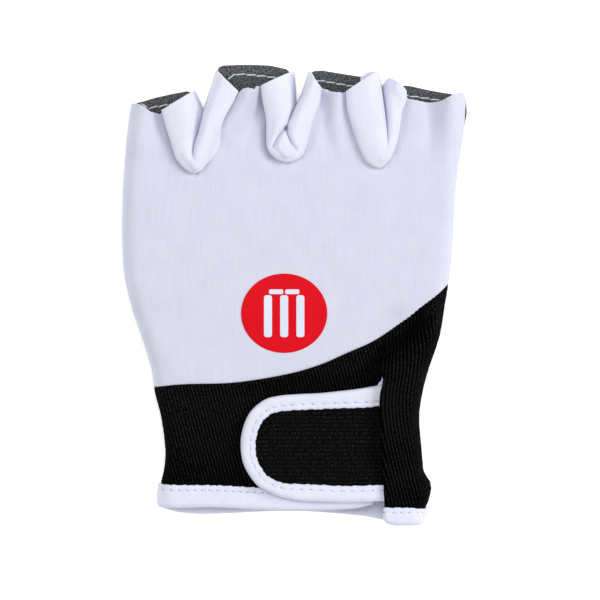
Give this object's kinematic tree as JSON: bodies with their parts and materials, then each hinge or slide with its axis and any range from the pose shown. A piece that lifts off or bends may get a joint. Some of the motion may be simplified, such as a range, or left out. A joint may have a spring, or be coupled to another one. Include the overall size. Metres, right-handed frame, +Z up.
{
  "type": "cricket fielding glove",
  "caption": "Half-finger cricket fielding glove with a knit back, suede palm, folded finger gussets, ribbed cuff and a bound wrist strap, lying on its palm.",
  "frame": {"origin": "centre of the glove's outline seen from above, on the surface it lies on", "axes": "+X from the little finger side to the index side, +Y from the wrist to the fingers, +Z up out of the back of the hand"},
  "size_m": [0.1064, 0.1423, 0.0211],
  "materials": {
    "back_cloth": "fine white tricot knit",
    "gusset_cloth": "soft white brushed knit",
    "palm_suede": "grey suede nap",
    "cuff_rib": "black elastic rib knit",
    "binding_tape": "white folded tape with running stitch",
    "strap_loop": "black loop pile in fine rows",
    "badge_film": "satin red transfer with a plain white wicket"
  },
  "bodies": {
    "root": {"back_panel": "back_cloth", "palm_panel": "palm_suede", "finger_gusset_1": "gusset_cloth", "finger_gusset_2": "gusset_cloth", "finger_gusset_3": "gusset_cloth", "wrist_cuff": "cuff_rib", "cuff_binding": "binding_tape", "slit_binding": "binding_tape", "strap_patch": "strap_loop", "strap_binding": "binding_tape", "back_badge": "badge_film"}
  },
  "joints": []
}
